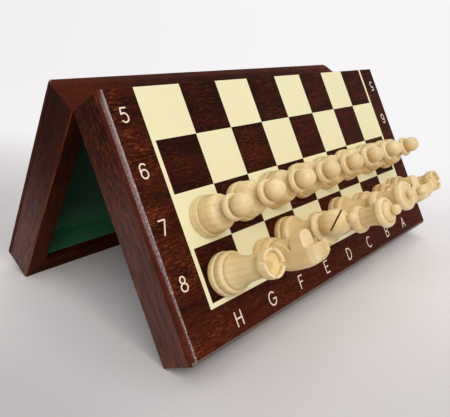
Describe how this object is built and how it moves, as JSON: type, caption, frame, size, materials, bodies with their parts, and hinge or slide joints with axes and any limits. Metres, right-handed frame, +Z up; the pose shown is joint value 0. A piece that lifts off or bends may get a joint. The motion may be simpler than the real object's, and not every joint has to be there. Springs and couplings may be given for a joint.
{
  "type": "chess box with hinged lid",
  "caption": "Folding wooden chess box: two hinged felt-lined trays standing open as a tent, inlaid magnetic board outside, turned light chessmen on the front half.",
  "frame": {"origin": "on the floor under the middle of the whole model, tent and chessmen together", "axes": "+X along the hinge, -Y the side that carries the chessmen, +Z up"},
  "size_m": [0.278, 0.2176, 0.1337],
  "materials": {
    "dark_wood": "satin",
    "dark_veneer": "satin",
    "light_veneer": "satin",
    "light_wood": "satin",
    "felt": "matte",
    "brass": "satin",
    "steel": "satin"
  },
  "bodies": {
    "front_half": {"front_dark_veneer": "dark_veneer", "front_felt_lining": "felt", "front_free_rail": "dark_wood", "front_hinge_leaves": "brass", "front_hinge_rail": "dark_wood", "front_hinge_screws": "brass", "front_left_rail": "dark_wood", "front_light_veneer": "light_veneer", "front_panel_core": "dark_wood", "front_right_rail": "dark_wood", "front_steel_sheet": "steel", "hinge_pins": "brass", "hook_screws": "brass"},
    "back_half": {"back_dark_veneer": "dark_veneer", "back_felt_lining": "felt", "back_free_rail": "dark_wood", "back_hinge_leaves": "brass", "back_hinge_rail": "dark_wood", "back_hinge_screws": "brass", "back_left_rail": "dark_wood", "back_light_veneer": "light_veneer", "back_panel_core": "dark_wood", "back_right_rail": "dark_wood", "back_steel_sheet": "steel", "hook_pegs": "brass"},
    "left_hook": {"hook_left": "brass"},
    "right_hook": {"hook_right": "brass"},
    "rook_h8": {"rook_h8": "light_wood", "rook_h8_magnet": "steel"},
    "knight_g8": {"knight_g8": "light_wood", "knight_g8_magnet": "steel"},
    "bishop_f8": {"bishop_f8": "light_wood", "bishop_f8_magnet": "steel"},
    "king_e8": {"king_e8": "light_wood", "king_e8_magnet": "steel"},
    "queen_d8": {"queen_d8": "light_wood", "queen_d8_magnet": "steel"},
    "bishop_c8": {"bishop_c8": "light_wood", "bishop_c8_magnet": "steel"},
    "knight_b8": {"knight_b8": "light_wood", "knight_b8_magnet": "steel"},
    "rook_a8": {"rook_a8": "light_wood", "rook_a8_magnet": "steel"},
    "pawn_h7": {"pawn_h7": "light_wood", "pawn_h7_magnet": "steel"},
    "pawn_g7": {"pawn_g7": "light_wood", "pawn_g7_magnet": "steel"},
    "pawn_f7": {"pawn_f7": "light_wood", "pawn_f7_magnet": "steel"},
    "pawn_e7": {"pawn_e7": "light_wood", "pawn_e7_magnet": "steel"},
    "pawn_d7": {"pawn_d7": "light_wood", "pawn_d7_magnet": "steel"},
    "pawn_c7": {"pawn_c7": "light_wood", "pawn_c7_magnet": "steel"},
    "pawn_b7": {"pawn_b7": "light_wood", "pawn_b7_magnet": "steel"},
    "pawn_a7": {"pawn_a7": "light_wood", "pawn_a7_magnet": "steel"}
  },
  "joints": [
    {"name": "box_hinge", "type": "hinge", "parent": "front_half", "child": "back_half", "pos_m": [0, 0.01808, 0.12079], "axis": [1, 0, 0], "range_deg": [-59.2, 120.8]},
    {"name": "left_hook_turn", "type": "hinge", "parent": "front_half", "child": "left_hook", "pos_m": [-0.085, -0.06188, 0.00635], "axis": [0, 0.4939, 0.8695], "range_deg": [0, 90]},
    {"name": "right_hook_turn", "type": "hinge", "parent": "front_half", "child": "right_hook", "pos_m": [0.085, -0.06188, 0.00635], "axis": [0, -0.4939, -0.8695], "range_deg": [0, 90]},
    {"name": "rook_h8_lift", "type": "slide", "parent": "front_half", "child": "rook_h8", "axis": [0, -0.8695, 0.4939], "range_m": [0, 0.03]},
    {"name": "knight_g8_lift", "type": "slide", "parent": "front_half", "child": "knight_g8", "axis": [0, -0.8695, 0.4939], "range_m": [0, 0.03]},
    {"name": "bishop_f8_lift", "type": "slide", "parent": "front_half", "child": "bishop_f8", "axis": [0, -0.8695, 0.4939], "range_m": [0, 0.03]},
    {"name": "king_e8_lift", "type": "slide", "parent": "front_half", "child": "king_e8", "axis": [0, -0.8695, 0.4939], "range_m": [0, 0.03]},
    {"name": "queen_d8_lift", "type": "slide", "parent": "front_half", "child": "queen_d8", "axis": [0, -0.8695, 0.4939], "range_m": [0, 0.03]},
    {"name": "bishop_c8_lift", "type": "slide", "parent": "front_half", "child": "bishop_c8", "axis": [0, -0.8695, 0.4939], "range_m": [0, 0.03]},
    {"name": "knight_b8_lift", "type": "slide", "parent": "front_half", "child": "knight_b8", "axis": [0, -0.8695, 0.4939], "range_m": [0, 0.03]},
    {"name": "rook_a8_lift", "type": "slide", "parent": "front_half", "child": "rook_a8", "axis": [0, -0.8695, 0.4939], "range_m": [0, 0.03]},
    {"name": "pawn_h7_lift", "type": "slide", "parent": "front_half", "child": "pawn_h7", "axis": [0, -0.8695, 0.4939], "range_m": [0, 0.03]},
    {"name": "pawn_g7_lift", "type": "slide", "parent": "front_half", "child": "pawn_g7", "axis": [0, -0.8695, 0.4939], "range_m": [0, 0.03]},
    {"name": "pawn_f7_lift", "type": "slide", "parent": "front_half", "child": "pawn_f7", "axis": [0, -0.8695, 0.4939], "range_m": [0, 0.03]},
    {"name": "pawn_e7_lift", "type": "slide", "parent": "front_half", "child": "pawn_e7", "axis": [0, -0.8695, 0.4939], "range_m": [0, 0.03]},
    {"name": "pawn_d7_lift", "type": "slide", "parent": "front_half", "child": "pawn_d7", "axis": [0, -0.8695, 0.4939], "range_m": [0, 0.03]},
    {"name": "pawn_c7_lift", "type": "slide", "parent": "front_half", "child": "pawn_c7", "axis": [0, -0.8695, 0.4939], "range_m": [0, 0.03]},
    {"name": "pawn_b7_lift", "type": "slide", "parent": "front_half", "child": "pawn_b7", "axis": [0, -0.8695, 0.4939], "range_m": [0, 0.03]},
    {"name": "pawn_a7_lift", "type": "slide", "parent": "front_half", "child": "pawn_a7", "axis": [0, -0.8695, 0.4939], "range_m": [0, 0.03]}
  ]
}
